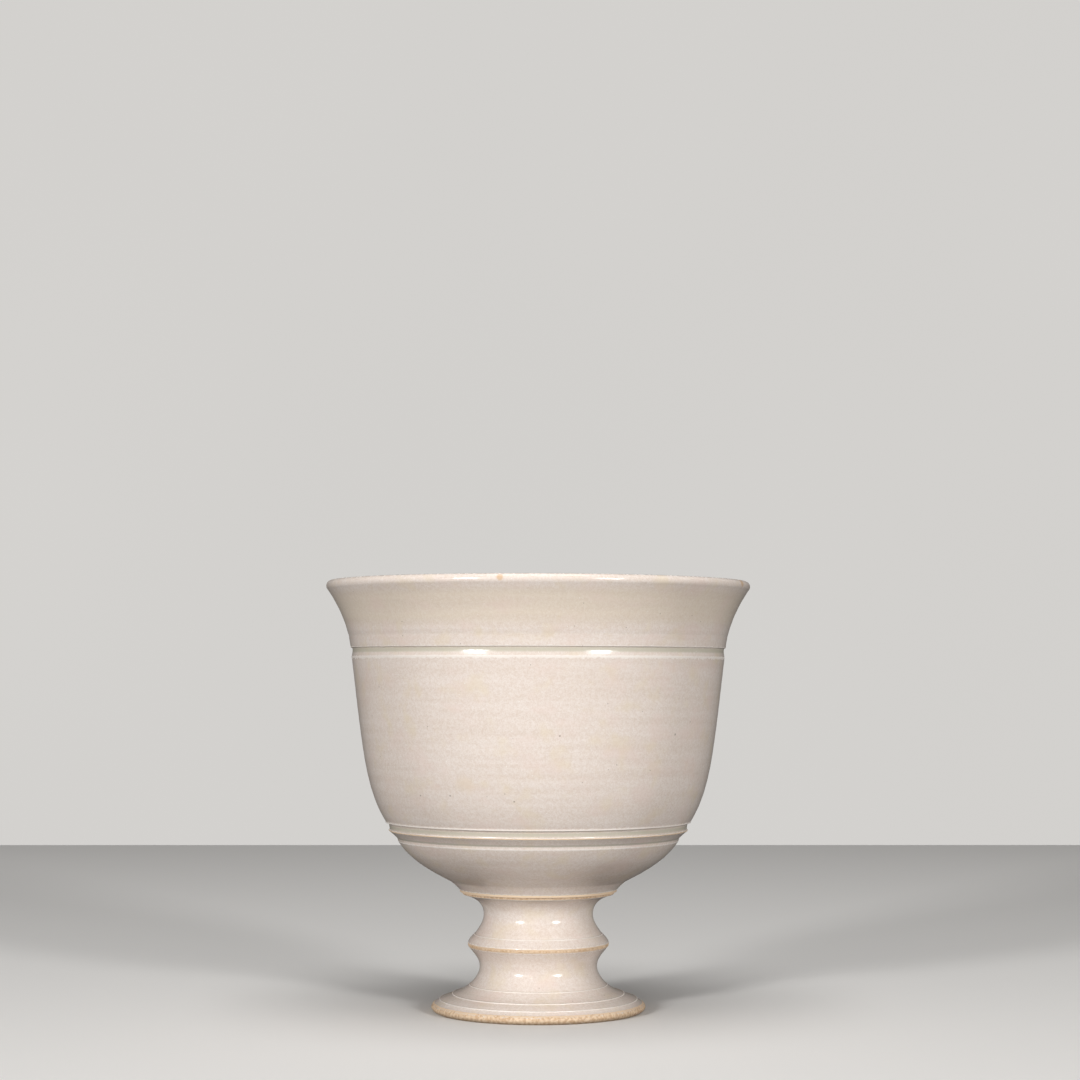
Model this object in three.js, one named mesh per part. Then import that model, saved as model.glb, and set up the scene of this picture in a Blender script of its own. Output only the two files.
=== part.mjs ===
// A white-glazed stem cup, put together as a potter does it: a thrown bowl, a short hollow stem and
// a spreading foot, luted with slip under the bowl's collar and round the knop.
// Millimetres, +Z up, the origin at the middle of the plane that the foot stands on.
// Heights count from the base of their own section. The names that end in In, Out, Up and Down say
// how far a curve's control point is pulled from the end of the curve that it belongs to.
import * as THREE from "three";

// Flat sides round the turning axis
const sidesRound = 48;

// What the turning tool leaves at a fine line: a small rise below it and a small flat above it
const turnedRise = 0.12;
const turnedFlat = 0.2;

// Foot: the standing ring and its rounded edge
const footHeight = 13.0;
const standingInnerRadius = 17.6;
const standingWidth = 3.3;
const footEdgeHeight = 1.65;
const footEdgeBulge = 1.05;

// Foot: two terraces, and the sweep up to a third fine line
const lowTerraceRadius = 19.8;
const lowTerraceHeight = 2.45;
const highTerraceRadius = 17.2;
const highTerraceHeight = 3.5;
const footLineRadius = 13.87;
const footLineHeight = 5.25;
const footSweepOut = 1.43;
const footSweepDown = 1.2;

// Foot: the waist, and the lower half of the knop
const footNeckIn = 0.95;
const footNeckUp = 0.95;
const footWaistRadius = 11.72;
const footWaistHeight = 8.84;
const footWaistDown = 1.24;
const footWaistUp = 1.46;
const knopUnderIn = 1.36;
const knopUnderDown = 1.7;

// Foot: the hollow, open to the floor
const hollowTopRadius = 6.8;
const hollowTopOut = 0.8;
const hollowTopDown = 8.5;
const hollowMouthIn = 4.1;
const hollowMouthUp = 1.2;

// Stem: the upper half of the knop
const stemHeight = 10.0;
const stemBoreRadius = 6.5;
const knopRadius = 14.08;
const knopLand = 0.15;
const knopJointStep = 0.12;
const stemLineRadius = 12.9;
const stemLineHeight = 1.95;
const knopShoulderOut = 1.05;
const knopShoulderDown = 0.9;

// Stem: the waist, and the head that carries the bowl
const stemNeckIn = 0.6;
const stemNeckUp = 0.9;
const stemWaistRadius = 10.9;
const stemWaistHeight = 5.8;
const stemWaistDown = 1.5;
const stemWaistUp = 1.9;
const stemHeadRadius = 15.0;
const stemHeadLand = 0.1;
const stemHeadIn = 3.0;
const stemHeadDown = 0.8;

// Slip in the two joints
const knopSlipThickness = 0.4;
const knopSlipSetback = 0.05;
const collarSlipThickness = 0.4;
const collarSlipOverhang = 0.2;
const slipBoreSetback = 0.2;

// Bowl: the collar, its skirt and the underside
const bowlHeight = 62.0;
const collarRadius = 15.7;
const collarLand = 0.4;
const skirtOut = 0.4;
const skirtUp = 0.6;
const skirtTopRadius = 17.6;
const skirtTopHeight = 2.2;
const undersideOut = 4.9;
const undersideUp = 2.5;

// Bowl: three turned bands with two recesses between them
const lowBandRadius = 28.05;
const lowBandHeight = 10.2;
const lowBandIn = 2.15;
const lowBandDown = 3.4;
const lowRecessRadius = 28.2;
const lowRecessHeight = 10.75;
const lowRecessOut = 0.35;
const lowRecessUp = 0.45;
const middleBandRadius = 29.95;
const middleBandHeight = 12.35;
const upperRecessRadius = 29.75;
const upperRecessFootHeight = 12.6;
const upperRecessTopHeight = 13.7;
const upperRecessFlare = 0.2;
const topBandRadius = 30.6;
const topBandHeight = 14.2;
const topBandLand = 0.25;

// Bowl: the wall and the shallow channel at the throat
const wallFootOut = 4.2;
const wallFootUp = 6.8;
const wallTopIn = 2.0;
const wallTopDown = 17.05;
const channelFootRadius = 37.4;
const channelFootHeight = 46.85;
const channelFloorRadius = 37.25;
const channelFloorHeight = 47.9;
const channelTopRadius = 37.6;
const channelTopHeight = 48.75;
const channelTopLand = 0.2;

// Bowl: the flare and the rolled lip
const flareOut = 0.77;
const flareUp = 5.9;
const mouthRadius = 42.45;
const lipRound = 1.05;
const lipCreaseDegrees = -42;

// Bowl: the inside
const floorThickness = 6.0;
const insideThroatRadius = 34.8;
const insideThroatHeight = 45.0;
const insideThroatOut = 0.6;
const insideThroatUp = 8.0;
const insideWallIn = 1.1;
const insideWallDown = 25.0;
const floorFlatRadius = 28.5;

// Where the sections stand on one another
const stemBase = footHeight + knopSlipThickness;
const collarSlipBase = stemBase + stemHeight;
const bowlBase = collarSlipBase + collarSlipThickness;

const glaze = new THREE.MeshStandardMaterial({ color: 0xe6dace, roughness: 0.3, metalness: 0 });
const slip = new THREE.MeshStandardMaterial({ color: 0xd8b48c, roughness: 0.8, metalness: 0 });

function at(radius, height) {
  return new THREE.Vector2(radius, height);
}

// A control point, pulled from a point of the outline
function from(point, outwards, upwards) {
  return at(point.x + outwards, point.y + upwards);
}

// The three corners of a fine turned line: the foot of its rise, its edge and the end of its flat
function turnedLine(radius, height) {
  return [at(radius, height - turnedRise), at(radius, height), at(radius - turnedFlat, height)];
}

// A curve with one or two control points, without its first point, which the outline already has
function curve(points, steps) {
  const shape =
    points.length === 3
      ? new THREE.QuadraticBezierCurve(...points)
      : new THREE.CubicBezierCurve(...points);
  return shape.getPoints(steps).slice(1);
}

// Part of a circle from one angle to another, in degrees from straight outwards
function arc(centre, radius, fromDegrees, toDegrees, steps) {
  const points = [];
  for (let i = 0; i <= steps; i += 1) {
    const angle = THREE.MathUtils.degToRad(fromDegrees + ((toDegrees - fromDegrees) * i) / steps);
    points.push(at(centre.x + radius * Math.cos(angle), centre.y + radius * Math.sin(angle)));
  }
  return points;
}

// Turns an outline about the axis and stands it at its height
function turned(name, outline, base, material) {
  const geometry = new THREE.LatheGeometry(outline, sidesRound);
  geometry.rotateX(Math.PI / 2);
  const mesh = new THREE.Mesh(geometry, material);
  mesh.name = name;
  mesh.position.z = base;
  return mesh;
}

// Closes an outline that doesn't reach the axis
function closed(outline) {
  return [...outline, outline[0].clone()];
}

function makeSlipRing(name, innerRadius, outerRadius, thickness, base) {
  const outline = [
    at(innerRadius, 0),
    at(outerRadius, 0),
    at(outerRadius, thickness),
    at(innerRadius, thickness),
  ];
  return turned(name, closed(outline), base, slip);
}

// Standing ring, rounded edge, two terraces and the sweep above them
function footOutside(edgeFoot) {
  const edgeTop = at(edgeFoot.x, footEdgeHeight);
  const edgeMiddle = at(edgeFoot.x + footEdgeBulge, footEdgeHeight / 2);
  const lowTerrace = turnedLine(lowTerraceRadius, lowTerraceHeight);
  const highTerrace = turnedLine(highTerraceRadius, highTerraceHeight);
  const sweepTop = turnedLine(footLineRadius, footLineHeight);
  return [
    edgeFoot,
    ...curve([edgeFoot, edgeMiddle, edgeTop], 4),
    ...lowTerrace,
    ...highTerrace,
    ...curve([highTerrace[2], from(sweepTop[0], footSweepOut, -footSweepDown), sweepTop[0]], 4),
    sweepTop[1],
    sweepTop[2],
  ];
}

// The spreading foot, with the lower half of the knop and the open hollow
function makeFoot() {
  const mouthEdge = at(standingInnerRadius, 0);
  const edgeFoot = from(mouthEdge, standingWidth, 0);
  const neckStart = at(footLineRadius - turnedFlat, footLineHeight);
  const waist = at(footWaistRadius, footWaistHeight);
  const joint = at(knopRadius - knopJointStep, footHeight);
  const hollowTop = at(hollowTopRadius, footHeight);
  const neck = [neckStart, from(neckStart, -footNeckIn, footNeckUp), from(waist, 0, -footWaistDown)];
  const knopUnder = [waist, from(waist, 0, footWaistUp), from(joint, -knopUnderIn, -knopUnderDown)];
  const hollow = [
    hollowTop,
    from(hollowTop, hollowTopOut, -hollowTopDown),
    from(mouthEdge, -hollowMouthIn, hollowMouthUp),
  ];
  const outline = [
    mouthEdge,
    ...footOutside(edgeFoot),
    ...curve([...neck, waist], 6),
    ...curve([...knopUnder, joint], 6),
    hollowTop,
    ...curve([...hollow, mouthEdge], 10),
  ];
  return turned("foot", outline, 0, glaze);
}

// Upper half of the knop, waist, and the head that carries the bowl
function makeStem() {
  const knopTop = at(knopRadius, knopLand);
  const line = turnedLine(stemLineRadius, stemLineHeight);
  const waist = at(stemWaistRadius, stemWaistHeight);
  const headEdge = at(stemHeadRadius, stemHeight - stemHeadLand);
  const neck = [line[2], from(line[2], -stemNeckIn, stemNeckUp), from(waist, 0, -stemWaistDown)];
  const head = [waist, from(waist, 0, stemWaistUp), from(headEdge, -stemHeadIn, -stemHeadDown)];
  const outline = [
    at(stemBoreRadius, 0),
    at(knopRadius, 0),
    knopTop,
    ...curve([knopTop, from(line[0], knopShoulderOut, -knopShoulderDown), line[0]], 4),
    line[1],
    line[2],
    ...curve([...neck, waist], 6),
    ...curve([...head, headEdge], 7),
    at(stemHeadRadius, stemHeight),
    at(stemBoreRadius, stemHeight),
  ];
  return turned("stem", closed(outline), stemBase, glaze);
}

// Collar, skirt, underside and the three turned bands, up to the foot of the wall
function bowlLower() {
  const collarTop = at(collarRadius, collarLand);
  const skirtTop = at(skirtTopRadius, skirtTopHeight);
  const lowBand = at(lowBandRadius, lowBandHeight);
  const lowRecess = at(lowRecessRadius, lowRecessHeight);
  const middleBand = at(middleBandRadius, middleBandHeight);
  const underside = [
    skirtTop,
    from(skirtTop, undersideOut, undersideUp),
    from(lowBand, -lowBandIn, -lowBandDown),
  ];
  return [
    at(collarRadius, 0),
    collarTop,
    ...curve([collarTop, from(collarTop, skirtOut, skirtUp), skirtTop], 3),
    ...curve([...underside, lowBand], 9),
    lowRecess,
    ...curve([lowRecess, from(lowRecess, lowRecessOut, lowRecessUp), middleBand], 3),
    at(upperRecessRadius, upperRecessFootHeight),
    at(upperRecessRadius + upperRecessFlare, upperRecessTopHeight),
    at(topBandRadius, topBandHeight - topBandLand),
    at(topBandRadius, topBandHeight),
  ];
}

// Wall, shallow channel, flare and rolled lip
function bowlUpper(lip) {
  const topBand = at(topBandRadius, topBandHeight);
  const channelFoot = at(channelFootRadius, channelFootHeight);
  const channelTop = at(channelTopRadius, channelTopHeight);
  const wall = [
    topBand,
    from(topBand, wallFootOut, wallFootUp),
    from(channelFoot, -wallTopIn, -wallTopDown),
  ];
  return [
    ...curve([...wall, channelFoot], 12),
    at(channelFloorRadius, channelFloorHeight),
    at(channelFloorRadius, channelTopHeight - channelTopLand),
    channelTop,
    ...curve([channelTop, from(channelTop, flareOut, flareUp), lip[0]], 8),
    ...lip.slice(1),
  ];
}

// From the lip down to the middle of the floor
function bowlInside(innerLip) {
  const throat = at(insideThroatRadius, insideThroatHeight);
  const floorFlat = at(floorFlatRadius, floorThickness);
  const wall = [throat, from(throat, -insideWallIn, -insideWallDown), floorFlat];
  return [
    ...curve([innerLip, from(throat, insideThroatOut, insideThroatUp), throat], 7),
    ...curve([...wall, at(0, floorThickness)], 16),
  ];
}

function makeBowl() {
  const lipCentre = at(mouthRadius - lipRound, bowlHeight - lipRound);
  const lip = arc(lipCentre, lipRound, lipCreaseDegrees, 180, 8);
  const outline = [at(0, 0), ...bowlLower(), ...bowlUpper(lip), ...bowlInside(lip[lip.length - 1])];
  return turned("bowl", outline, bowlBase, glaze);
}

const cup = new THREE.Group();
cup.add(makeFoot());
cup.add(
  makeSlipRing(
    "knop_slip",
    hollowTopRadius + slipBoreSetback,
    knopRadius - knopSlipSetback,
    knopSlipThickness,
    footHeight,
  ),
);
cup.add(makeStem());
cup.add(
  makeSlipRing(
    "collar_slip",
    stemBoreRadius + slipBoreSetback,
    stemHeadRadius + collarSlipOverhang,
    collarSlipThickness,
    collarSlipBase,
  ),
);
cup.add(makeBowl());

export default cup;
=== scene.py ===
import math

import bpy
import numpy as np
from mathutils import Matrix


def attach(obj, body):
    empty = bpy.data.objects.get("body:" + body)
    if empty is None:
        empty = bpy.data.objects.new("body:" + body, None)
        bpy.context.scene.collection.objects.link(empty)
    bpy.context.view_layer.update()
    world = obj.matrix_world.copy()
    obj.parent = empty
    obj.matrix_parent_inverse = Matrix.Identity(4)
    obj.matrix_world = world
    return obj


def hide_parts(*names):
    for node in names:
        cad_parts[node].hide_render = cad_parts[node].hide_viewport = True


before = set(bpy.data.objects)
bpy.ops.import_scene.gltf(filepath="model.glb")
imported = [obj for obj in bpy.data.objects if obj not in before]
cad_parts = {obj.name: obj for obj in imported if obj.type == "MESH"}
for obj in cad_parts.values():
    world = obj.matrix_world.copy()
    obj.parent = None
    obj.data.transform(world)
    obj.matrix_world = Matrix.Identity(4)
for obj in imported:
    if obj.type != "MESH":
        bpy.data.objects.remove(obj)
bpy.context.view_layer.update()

# The looks of a white-glazed stem cup, in metres. Profiles are written in millimetres as radius and
# height above the floor, and carried round the axis.
mm = 0.001
around = 288  # points round each turned piece


def srgb(red, green, blue):  # a colour as seen on screen, 0 to 255, as linear light with alpha
    seen = np.array([red, green, blue]) / 255
    light = np.where(seen <= 0.04045, seen / 12.92, ((seen + 0.055) / 1.055) ** 2.4)
    return (*light.tolist(), 1.0)


# What a user would change in the glaze and the bare clay
glazeLook = {
    "light": srgb(247, 236, 228),
    "deep": srgb(229, 212, 198),
    "yellowPatch": srgb(236, 219, 190),
    "pinkPatch": srgb(240, 217, 206),
    # pooled glaze colour, also used as painted shade in recesses and under ridges
    "pooledAndShade": srgb(205, 199, 180),
    "worn": srgb(236, 207, 172),
    # thin white glaze colour, also used as painted highlight on ridges and the rim top
    "thinAndHighlight": srgb(252, 244, 236),
    # painted glint colour: near-white dots standing in for highlights on pinholes
    "paintedGlint": srgb(255, 250, 244),
    "gloss": 0.17,
    "wornRoughness": 0.5,
    "orangePeel": 0.5,
    "underLip": (75.5, 78, 82, 84),  # heights where the yellow zone starts, is full, thins and ends
}
glazePattern = {  # how many of each to a metre, or for the streaks across and up
    "grain": 4300, "mottle": 1700, "ragged": 1500, "streaks": (35, 35, 800), "patches": 210,
    "pink": 130, "pits": 620, "paintedGlintDots": 800, "orangePeel": 500,
}
clayLook = {
    "pale": srgb(240, 214, 184),
    "dark": srgb(214, 178, 140),
    "roughness": 0.62,
}
speckLook = {  # sideways and height in millimetres on the front, then how far across
    "iron": [(26.1, 55.7, 0.34), (-16.6, 44.3, 0.24), (-22.4, 44.1, 0.24), (4.0, 55.7, 0.22),
             (-4.5, 43.4, 0.22)],
    "stain": [(39.6, 85.1, 1.3), (-7.0, 84.9, 0.8)],
    "ironColour": srgb(136, 116, 98),
    "stainColour": srgb(214, 172, 118),
}


# Profiles: each stretch is a line or a curve by its end and control points, with its sample count
bowlStretches = [
    ([(0, 23.8), (15.55, 23.8)], 10),
    ([(15.55, 23.8), (15.7, 23.8), (15.7, 23.95)], 5),
    ([(15.7, 23.95), (15.7, 24.2)], 3),
    ([(15.7, 24.2), (16.1, 24.8), (17.6, 26.0)], 12),
    ([(17.6, 26.0), (22.5, 28.5), (25.9, 30.6), (28.05, 34.0)], 40),
    ([(28.05, 34.0), (28.1, 34.15), (28.2, 34.55)], 6),
    ([(28.2, 34.55), (28.55, 35.0), (29.9, 36.1)], 14),
    ([(29.9, 36.1), (29.97, 36.16), (29.9, 36.24)], 5),
    ([(29.9, 36.24), (29.8, 36.3), (29.75, 36.4)], 5),
    ([(29.75, 36.4), (29.8, 37.1), (29.95, 37.45)], 8),
    ([(29.95, 37.45), (30.2, 37.7), (30.55, 37.75)], 7),
    ([(30.55, 37.75), (30.62, 37.78), (30.6, 38.0)], 5),
    ([(30.6, 38.0), (34.8, 44.8), (35.4, 53.6), (37.4, 70.6)], 56),
    ([(37.4, 70.6), (37.41, 70.68), (37.38, 70.75)], 5),
    ([(37.38, 70.75), (37.26, 71.6)], 4),
    ([(37.26, 71.6), (37.22, 72.1), (37.27, 72.3)], 6),
    ([(37.27, 72.3), (37.4, 72.48), (37.57, 72.5)], 5),
    ([(37.57, 72.5), (37.61, 72.5), (37.62, 72.6)], 4),
    ([(37.62, 72.6), (38.37, 78.45), (42.18, 84.047)], 34),
]
lip = {"centre": (41.4, 84.75), "radius": 1.05, "fromDegrees": -42, "samples": 24}
insideStretches = [
    ([(40.35, 84.75), (35.4, 76.8), (34.8, 68.8)], 22),
    ([(34.8, 68.8), (33.7, 43.8), (28.5, 29.8), (0, 29.8)], 52),
]
stemStretches = [
    ([(6.5, 13.4), (14.03, 13.4)], 8),
    ([(14.03, 13.4), (14.08, 13.42), (14.08, 13.55)], 6),
    ([(14.08, 13.55), (13.95, 14.3), (12.93, 15.2)], 14),
    ([(12.93, 15.2), (12.88, 15.26), (12.9, 15.33)], 4),
    ([(12.9, 15.33), (12.86, 15.37), (12.72, 15.36)], 4),
    ([(12.72, 15.36), (12.1, 16.25), (10.9, 17.7), (10.9, 19.2)], 22),
    ([(10.9, 19.2), (10.9, 21.1), (12.0, 22.5), (15.0, 23.3)], 26),
    ([(15.0, 23.3), (15.05, 23.35), (15.0, 23.4)], 4),
    ([(15.0, 23.4), (6.5, 23.4)], 10),
    ([(6.5, 23.4), (6.5, 13.4)], 20),
]
footStretches = [
    ([(17.6, 0), (20.7, 0)], 8),
    ([(20.7, 0), (21.95, 0.75), (20.95, 1.6)], 14),
    ([(20.95, 1.6), (20.3, 1.95), (19.85, 2.3)], 9),
    ([(19.85, 2.3), (19.8, 2.36), (19.82, 2.44)], 4),
    ([(19.82, 2.44), (19.78, 2.49), (19.6, 2.46)], 4),
    ([(19.6, 2.46), (17.25, 3.36)], 14),
    ([(17.25, 3.36), (17.2, 3.42), (17.22, 3.5)], 4),
    ([(17.22, 3.5), (17.18, 3.54), (17.0, 3.51)], 4),
    ([(17.0, 3.51), (15.3, 3.98), (13.92, 5.12)], 16),
    ([(13.92, 5.12), (13.87, 5.17), (13.88, 5.25)], 4),
    ([(13.88, 5.25), (13.84, 5.29), (13.68, 5.27)], 4),
    ([(13.68, 5.27), (12.7, 6.2), (11.72, 7.6), (11.72, 8.84)], 20),
    ([(11.72, 8.84), (11.72, 10.3), (12.6, 11.3), (13.96, 12.9)], 24),
    ([(13.96, 12.9), (14.03, 12.96), (14.0, 13.0)], 4),
    ([(14.0, 13.0), (6.8, 13.0)], 10),
    ([(6.8, 13.0), (7.6, 4.5), (13.5, 1.2), (17.6, 0)], 40),
]
knopSeamStretches = [
    ([(7.0, 13.0), (14.0, 13.0)], 6),
    ([(14.0, 13.0), (14.12, 13.2), (14.0, 13.4)], 8),
    ([(14.0, 13.4), (7.0, 13.4)], 6),
    ([(7.0, 13.4), (7.0, 13.0)], 4),
]
collarSeamStretches = [
    ([(6.7, 23.4), (15.1, 23.4)], 6),
    ([(15.1, 23.4), (15.3, 23.6), (15.1, 23.8)], 8),
    ([(15.1, 23.8), (6.7, 23.8)], 6),
    ([(6.7, 23.8), (6.7, 23.4)], 4),
]

# Where the glaze wears to buff, runs thin and white, and pools, with painted highlight on ridges and the
# rim top and painted shade in recesses: radius, height, spread, strength
wornLines = [
    (15.7, 24.02, 0.34, 1.0), (14.08, 13.5, 0.2, 0.9), (14.0, 12.95, 0.16, 0.8),
    (29.93, 36.15, 0.22, 0.85), (20.95, 1.62, 0.3, 0.9),
]
# Thin white glaze on edges, partly painted highlight: lighter along the lit ridges and over the rim top
thinAndHighlightLines = [
    (12.9, 15.34, 0.14, 1.0), (13.86, 5.26, 0.14, 1.0), (17.2, 3.5, 0.15, 1.0),
    (19.8, 2.45, 0.15, 1.0), (28.05, 34.0, 0.2, 0.8), (30.6, 37.85, 0.2, 1.0),
    (29.93, 36.15, 0.4, 0.8), (37.4, 70.66, 0.13, 1.0), (37.6, 72.52, 0.13, 0.9),
    (41.6, 85.75, 0.9, 0.5), (15.75, 24.4, 0.3, 0.7), (14.0, 13.7, 0.25, 0.6),
    (13.9, 12.8, 0.25, 0.8),
]
# Pooled glaze in hollows, partly painted shade: darker in recesses, under the collar and lip, and between
# the foot's ridges
poolAndShadeLines = [
    (37.25, 71.9, 0.55, 1.0), (29.85, 36.95, 0.5, 1.0), (28.3, 34.85, 0.35, 0.9),
    (14.7, 23.2, 0.6, 0.6), (15.4, 4.1, 0.5, 0.4), (42.1, 83.9, 0.3, 0.4),
    (10.9, 19.2, 1.2, 0.2), (11.72, 8.84, 1.0, 0.2), (18.4, 2.95, 0.6, 0.35),
    (38.0, 74.9, 0.3, 0.45),
]
bareTop = 1.65  # the foot is unglazed below this height


def stretch(points, samples):
    # a Bernstein sum of the points, so two make a line and three or four a curve
    ends = np.array(points, float)
    degree = len(ends) - 1
    step = np.linspace(0, 1, samples)[:, None]
    return sum(math.comb(degree, k) * step ** k * (1 - step) ** (degree - k) * ends[k]
               for k in range(degree + 1))


def profileOf(stretches):
    parts = [stretch(points, samples) for points, samples in stretches]
    return np.vstack([parts[0]] + [part[1:] for part in parts[1:]])


def lipArc():
    angle = np.radians(np.linspace(lip["fromDegrees"], 180, lip["samples"]))
    centre = np.array(lip["centre"])
    return centre + lip["radius"] * np.stack([np.cos(angle), np.sin(angle)], axis=1)


def nearness(profile, lines):
    # the largest bell curve of the distance to each line, in the plane of the profile
    total = np.zeros(len(profile))
    for radius, height, spread, strength in lines:
        away = np.hypot(profile[:, 0] - radius, profile[:, 1] - height)
        total = np.maximum(total, strength * np.exp(-(away / spread) ** 2))
    return total


# The wheel's unevenness, in millimetres, only ever inwards and downwards. It grows from the bowl's
# foot over the fade, and from the axis to the steady radius
wheel = {
    "outOfRound": 0.09, "threeSided": 0.04, "throwing": 0.012, "throwingPitch": 2.6, "lean": 0.14,
    "bowlFoot": 24, "fade": 30, "steadyRadius": 10, "bowlRise": 62, "mouthRadius": 42.45,
}
luck = np.random.default_rng(2854)
phases = luck.uniform(0, 2 * math.pi, 4)


def carriedRound(profile):
    # x and y are the radius times the cosine and sine of the angle, z is the height; the radius
    # loses a few cosines of the angle and the height, and the rim leans a little to the right
    angle = np.linspace(0, 2 * math.pi, around, endpoint=False)[None, :]
    radius = profile[:, 0][:, None]
    height = profile[:, 1][:, None]
    rise = height - wheel["bowlFoot"]
    hold = np.clip(radius / wheel["steadyRadius"], 0, 1) * np.clip(rise / wheel["fade"], 0, 1)
    wave = (wheel["outOfRound"] * (np.cos(2 * angle + phases[0]) - 1)
            + wheel["threeSided"] * (np.cos(3 * angle + phases[1]) - 1))
    spiral = 2 * math.pi * height / wheel["throwingPitch"] + angle + phases[2]
    turns = wheel["throwing"] * (np.cos(spiral) - 1)
    radius = radius + hold * (wave + turns)
    across = radius * np.cos(angle) / wheel["mouthRadius"]
    lean = wheel["lean"] * np.clip(rise / wheel["bowlRise"], 0, 1) * (1 + across)
    return np.stack([radius * np.cos(angle), radius * np.sin(angle), height - lean], axis=2) * mm


def turnedPiece(name, profile, onAxis):
    grid = carriedRound(profile)
    rows = len(profile)
    j = np.arange(around)
    k = (j + 1) % around
    if onAxis:
        points = np.vstack([grid[0, :1], grid[1:-1].reshape(-1, 3), grid[-1, :1]])
        last = len(points) - 1
        row = 1 + np.arange(rows - 3)[:, None] * around
        first = np.stack([np.zeros(around, int), 1 + k, 1 + j], axis=1)
        top = 1 + (rows - 3) * around
        lastFan = np.stack([top + j, top + k, np.full(around, last)], axis=1)
        quads = np.stack([row + j, row + k, row + around + k, row + around + j], axis=2).reshape(-1, 4)
        faces = first.tolist() + quads.tolist() + lastFan.tolist()
        station = np.concatenate([[0], np.repeat(np.arange(1, rows - 1), around), [rows - 1]])
    else:
        rows -= 1  # the last sample is the first again
        points = grid[:-1].reshape(-1, 3)
        here = np.arange(rows)[:, None] * around
        there = ((np.arange(rows) + 1) % rows)[:, None] * around
        faces = np.stack([here + j, here + k, there + k, there + j], axis=2).reshape(-1, 4).tolist()
        station = np.repeat(np.arange(rows), around)
    mesh = bpy.data.meshes.new(name)
    mesh.from_pydata(points.tolist(), [], faces)
    # The pool mask carries painted shade as well as pooled glaze, and the thin mask carries painted
    # highlight as well as thin glaze
    for label, lines in (("worn", wornLines), ("thinAndHighlight", thinAndHighlightLines), ("poolAndShade", poolAndShadeLines)):
        values = nearness(profile, lines)[station].astype(np.float32)
        mesh.attributes.new(label, "FLOAT", "POINT").data.foreach_set("value", values)
    mesh.polygons.foreach_set("use_smooth", np.ones(len(mesh.polygons), bool))
    mesh.update()
    piece = bpy.data.objects.new(name, mesh)
    bpy.context.scene.collection.objects.link(piece)
    return piece


class Wire:  # a socket in a material; arithmetic on it adds Math nodes
    def __init__(self, tree, socket=None):
        self.tree = tree
        self.socket = socket

    def node(self, kind, settings=None, inputs=None, output=0):
        made = self.tree.nodes.new(kind)
        for key, value in (settings or {}).items():
            setattr(made, key, value)
        for key, value in (inputs or {}).items():
            if isinstance(value, Wire):
                self.tree.links.new(value.socket, made.inputs[key])
            else:
                made.inputs[key].default_value = value
        return Wire(self.tree, made.outputs[output]) if len(made.outputs) else made

    def math(self, operation, *values):
        return self.node("ShaderNodeMath", {"operation": operation}, dict(enumerate(values)))

    def __add__(self, other):
        return self.math("ADD", self, other)

    def __radd__(self, other):
        return self.math("ADD", other, self)

    def __sub__(self, other):
        return self.math("SUBTRACT", self, other)

    def __rsub__(self, other):
        return self.math("SUBTRACT", other, self)

    def __mul__(self, other):
        return self.math("MULTIPLY", self, other)

    def __rmul__(self, other):
        return self.math("MULTIPLY", other, self)

    def larger(self, other):
        return self.math("MAXIMUM", self, other)

    def ramp(self, low, high):  # 0 below low and 1 above high, smooth between
        settings = {"interpolation_type": "SMOOTHSTEP"}
        return self.node("ShaderNodeMapRange", settings, {"Value": self, "From Min": low, "From Max": high})

    def blend(self, first, second):  # the first colour where this is 0, the second where it is 1
        return self.node("ShaderNodeMix", {"data_type": "RGBA"}, {0: self, 6: first, 7: second}, 2)

    def stretched(self, by):
        return self.node("ShaderNodeVectorMath", {"operation": "MULTIPLY"}, {0: self, 1: by})

    def noise(self, scale, detail=2.0):
        return self.node("ShaderNodeTexNoise", None, {"Vector": self, "Scale": scale, "Detail": detail})

    def near(self, point, reach):  # 1 within half the reach of a point, 0 beyond it
        away = self.node("ShaderNodeVectorMath", {"operation": "DISTANCE"}, {0: self, 1: point}, 1)
        return 1 - away.ramp(reach / 2, reach)

    def dots(self, scale, reach, share):  # round dots in a share of the cells of a random net
        net = {"Vector": self, "Scale": scale}
        near = 1 - self.node("ShaderNodeTexVoronoi", None, net, 0).ramp(reach * 0.6, reach)
        pick = self.node("ShaderNodeTexVoronoi", None, net, 1)
        red = self.node("ShaderNodeSeparateColor", None, {0: pick}, 0)
        return near * red.math("LESS_THAN", red, share)


def newMaterial(name):
    material = bpy.data.materials.new(name)
    material.use_nodes = True
    material.node_tree.nodes.clear()
    start = Wire(material.node_tree)
    place = start.node("ShaderNodeTexCoord", output="Object")
    return material, start, place


def closeMaterial(start, colour, roughness, normal, constants):
    shader = start.node("ShaderNodeBsdfPrincipled", None, {
        "Base Color": colour, "Roughness": roughness, "Normal": normal, **constants})
    start.node("ShaderNodeOutputMaterial", None, {"Surface": shader})


def frontPoint(outline, sideways, height):  # where a point seen from the front lies on the outside
    radius = np.interp(height, outline[:, 1], outline[:, 0])
    return (sideways * mm, -math.sqrt(max(radius ** 2 - sideways ** 2, 0)) * mm, height * mm)


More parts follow.
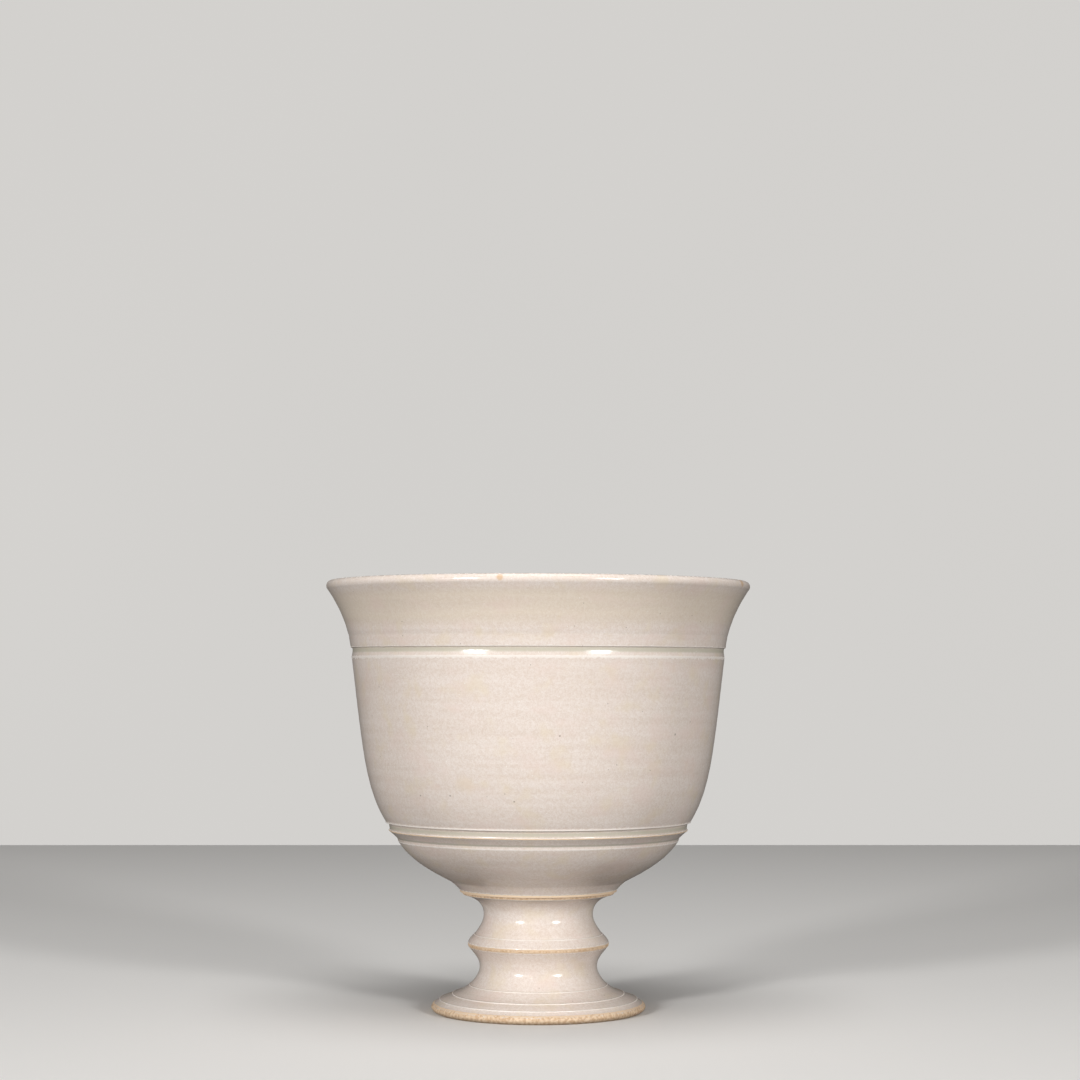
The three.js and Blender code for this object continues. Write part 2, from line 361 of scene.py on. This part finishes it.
def makeGlaze(outline):
    material, start, place = newMaterial("ivory_glaze")
    worn, thinAndHighlight, poolAndShade = (start.node("ShaderNodeAttribute", {"attribute_name": label}, None, 2)
                        for label in ("worn", "thinAndHighlight", "poolAndShade"))
    height = start.node("ShaderNodeSeparateXYZ", None, {0: place}, 2)
    grain = place.noise(glazePattern["grain"])
    mottle = place.noise(glazePattern["mottle"], 3.0)
    ragged = place.noise(glazePattern["ragged"], 3.0)
    streaks = place.stretched(glazePattern["streaks"]).noise(1.0)
    tone = grain.ramp(0.35, 0.65) * 0.42 + mottle.ramp(0.35, 0.65) * 0.33
    tone = tone + streaks.ramp(0.3, 0.7) * 0.25
    colour = tone.blend(glazeLook["deep"], glazeLook["light"])
    patches = place.noise(glazePattern["patches"]).ramp(0.5, 0.75) * 0.45
    begins, full, thins, ends = (step * mm for step in glazeLook["underLip"])
    underLip = (height.ramp(begins, full) - height.ramp(thins, ends)) * 0.4
    colour = patches.larger(underLip * (0.4 + streaks)).blend(colour, glazeLook["yellowPatch"])
    pink = place.stretched((1, 1, 1.7)).noise(glazePattern["pink"]).ramp(0.5, 0.75) * 0.4
    colour = pink.blend(colour, glazeLook["pinkPatch"])
    # Pooled glaze, partly painted shade: the pooled colour darkens hollows, recesses and the undersides of
    # ridges
    pooledAndShade = (poolAndShade + (ragged - 0.5) * 0.25).ramp(0.2, 0.95)
    colour = (pooledAndShade * 0.8).blend(colour, glazeLook["pooledAndShade"])
    # Thin white glaze, partly painted highlight: lighter along ridges and over the rim top
    whiteAndHighlight = (thinAndHighlight + (ragged - 0.5) * 0.9).ramp(0.35, 0.75)
    colour = (whiteAndHighlight * 0.8).blend(colour, glazeLook["thinAndHighlight"])
    buff = (worn + (ragged - 0.5) * 1.1).ramp(0.45, 0.7)
    colour = (buff * 0.85).blend(colour, glazeLook["worn"])
    pits = place.dots(glazePattern["pits"], 0.09, 0.16)
    # Painted glints: near-white dots standing in for highlights on pinholes, also raised in the bump
    paintedGlintDots = place.dots(glazePattern["paintedGlintDots"], 0.1, 0.3)
    colour = (pits * 0.5).blend(colour, speckLook["ironColour"])
    # the painted glint dots go into the colour here
    colour = (paintedGlintDots * 0.7).blend(colour, glazeLook["paintedGlint"])
    bare = 1 - (height + (ragged - 0.5) * 0.0016).ramp((bareTop - 0.3) * mm, (bareTop - 0.1) * mm)
    clay = mottle.ramp(0.35, 0.65).blend(clayLook["dark"], clayLook["pale"])
    colour = bare.blend(colour, clay)
    for spots, tint in (("stain", "stainColour"), ("iron", "ironColour")):
        for sideways, up, across in speckLook[spots]:
            mark = place.near(frontPoint(outline, sideways, up), across * mm)
            colour = (mark * 0.6).blend(colour, speckLook[tint])
    rough = buff.larger(whiteAndHighlight * 0.5)
    roughness = glazeLook["gloss"] + rough * glazeLook["wornRoughness"]
    roughness = roughness.larger(bare * clayLook["roughness"])
    relief = place.noise(glazePattern["orangePeel"]) * 0.9 + mottle * 0.25 + grain * 0.1
    relief = relief + paintedGlintDots * 0.5 - pits * 0.6
    relief = relief + rough.larger(bare) * (ragged + grain) * 0.7
    bump = {"Strength": glazeLook["orangePeel"], "Distance": 0.00007, "Height": relief}
    normal = start.node("ShaderNodeBump", None, bump)
    closeMaterial(start, colour, roughness, normal, {"IOR": 1.5})
    return material


def makeSlip():
    material, start, place = newMaterial("luting_slip")
    grain = place.noise(1800, 3.0)
    colour = grain.ramp(0.3, 0.7).blend(clayLook["dark"], clayLook["pale"])
    normal = start.node("ShaderNodeBump", None, {"Strength": 0.4, "Distance": 0.0001, "Height": grain})
    closeMaterial(start, colour, grain * 0.2 + 0.6, normal, {"IOR": 1.45})
    return material


def makeStudio(name, look, glows):  # pale to the camera, and dark to light that comes by way of it
    material, start, place = newMaterial(name)
    grain = place.noise(3.0)
    colour = grain.blend(look["shade"], look["pale"])
    seen = start.node("ShaderNodeLightPath", output="Is Camera Ray")
    if glows:
        front = start.node("ShaderNodeEmission", None, {"Color": colour, "Strength": 1.0})
    else:
        front = start.node("ShaderNodeBsdfDiffuse", None, {"Color": colour})
    dark = start.node("ShaderNodeBsdfDiffuse", None, {"Color": look["dark"]})
    both = start.node("ShaderNodeMixShader", None, {0: seen, 1: dark, 2: front})
    start.node("ShaderNodeOutputMaterial", None, {"Surface": both})
    return material


def dress(piece, node, material):
    piece.data.materials.append(material)
    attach(piece, "root")
    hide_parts(node)
    print("made", piece.name, len(piece.data.polygons), "faces")


outside = profileOf(bowlStretches)
faintLine = {"height": 74.9, "spread": 0.35, "depth": 0.06}  # a shallow turned line above the channel
outside[:, 0] -= faintLine["depth"] * np.exp(
    -((outside[:, 1] - faintLine["height"]) / faintLine["spread"]) ** 2)
bowlProfile = np.vstack([outside, lipArc()[1:], profileOf(insideStretches)[1:]])
glaze = makeGlaze(outside[10:])
slip = makeSlip()
dress(turnedPiece("glazed_bowl", bowlProfile, True), "bowl", glaze)
dress(turnedPiece("glazed_stem", profileOf(stemStretches), False), "stem", glaze)
dress(turnedPiece("glazed_foot", profileOf(footStretches), False), "foot", glaze)
dress(turnedPiece("knop_seam", profileOf(knopSeamStretches), False), "knop_slip", slip)
dress(turnedPiece("collar_seam", profileOf(collarSeamStretches), False), "collar_slip", slip)

# The studio: a level floor that ends in front of an upright backdrop, as in the photo but pale
floorLook = {
    "pale": srgb(240, 238, 235), "shade": srgb(236, 234, 231), "dark": srgb(110, 108, 106),
    "halfWidth": 1.6, "front": -1.4, "back": 0.463,
}
backdropLook = {
    "pale": srgb(213, 211, 208), "shade": srgb(209, 207, 204), "dark": srgb(110, 108, 106),
    "halfWidth": 1.6, "depth": 0.9, "bottom": -0.6, "top": 2.0,
}


def flatSheet(name, look, firstEnd, lastEnd, material):
    # a straight line from one end to the other in depth and height, carried from left to right
    count = 9
    side = np.linspace(-look["halfWidth"], look["halfWidth"], count)
    line = np.linspace(firstEnd, lastEnd, count)
    x = np.repeat(side, count)
    y, z = np.tile(line, (count, 1)).T
    i, j = np.meshgrid(np.arange(count - 1), np.arange(count - 1), indexing="ij")
    corner = (i * count + j).ravel()
    faces = np.stack([corner, corner + count, corner + count + 1, corner + 1], axis=1)
    mesh = bpy.data.meshes.new(name)
    mesh.from_pydata(np.stack([x, y, z], axis=1).tolist(), [], faces.tolist())
    mesh.materials.append(material)
    thing = bpy.data.objects.new(name, mesh)
    bpy.context.scene.collection.objects.link(thing)
    return thing


floor = flatSheet("floor", floorLook, (floorLook["front"], 0), (floorLook["back"], 0),
                  makeStudio("floor_paper", floorLook, False))
backdrop = flatSheet("backdrop", backdropLook, (backdropLook["depth"], backdropLook["bottom"]),
                     (backdropLook["depth"], backdropLook["top"]),
                     makeStudio("backdrop_paper", backdropLook, True))
print("made the studio")

# Lights: azimuth from straight in front and elevation in degrees, distance and size in metres, watts
lights = {
    "frontLeft": {"azimuth": -38, "elevation": 13, "distance": 0.95, "size": 0.14, "watts": 5.6},
    "frontRight": {"azimuth": 38, "elevation": 13, "distance": 0.95, "size": 0.14, "watts": 4.8},
    "overhead": {"azimuth": 0, "elevation": 80, "distance": 1.0, "size": 0.6, "watts": 4.0},
}
target = np.array([0, 0, 0.045])  # the middle of the cup, which the lights face
for name, light in lights.items():
    azimuth, elevation = math.radians(light["azimuth"]), math.radians(light["elevation"])
    away = np.array([math.sin(azimuth) * math.cos(elevation), -math.cos(azimuth) * math.cos(elevation),
                     math.sin(elevation)])
    lamp = bpy.data.lights.new(name, "AREA")
    lamp.shape = "SQUARE"
    lamp.size = light["size"]
    lamp.energy = light["watts"]
    holder = bpy.data.objects.new(name, lamp)
    holder.location = (target + away * light["distance"]).tolist()
    holder.rotation_euler = (math.radians(90 - light["elevation"]), 0, math.radians(light["azimuth"]))
    bpy.context.scene.collection.objects.link(holder)

world = bpy.data.worlds.new("studio_air")
world.use_nodes = True
world.node_tree.nodes.clear()
air = Wire(world.node_tree)
glow = air.node("ShaderNodeBackground", None, {"Color": srgb(240, 238, 236), "Strength": 0.12})
air.node("ShaderNodeOutputWorld", None, {"Surface": glow})
bpy.context.scene.world = world

# The camera, as worked out from the bow of the turned rings: level, with the frame moved up so that
# the cup stands low in it
view = {"place": (0, -0.480, 0.0672), "turnDegrees": -0.04, "frameUp": 0.1241, "lens": 80, "sensor": 36}
eye = bpy.data.cameras.new("photo_camera")
eye.lens = view["lens"]
eye.sensor_width = view["sensor"]
eye.shift_y = view["frameUp"]
camera = bpy.data.objects.new("photo_camera", eye)
camera.location = view["place"]
camera.rotation_euler = (math.radians(90), 0, math.radians(view["turnDegrees"]))
bpy.context.scene.collection.objects.link(camera)
bpy.context.scene.camera = camera
bpy.context.scene.view_settings.view_transform = "Standard"
print("made the lights and the camera")
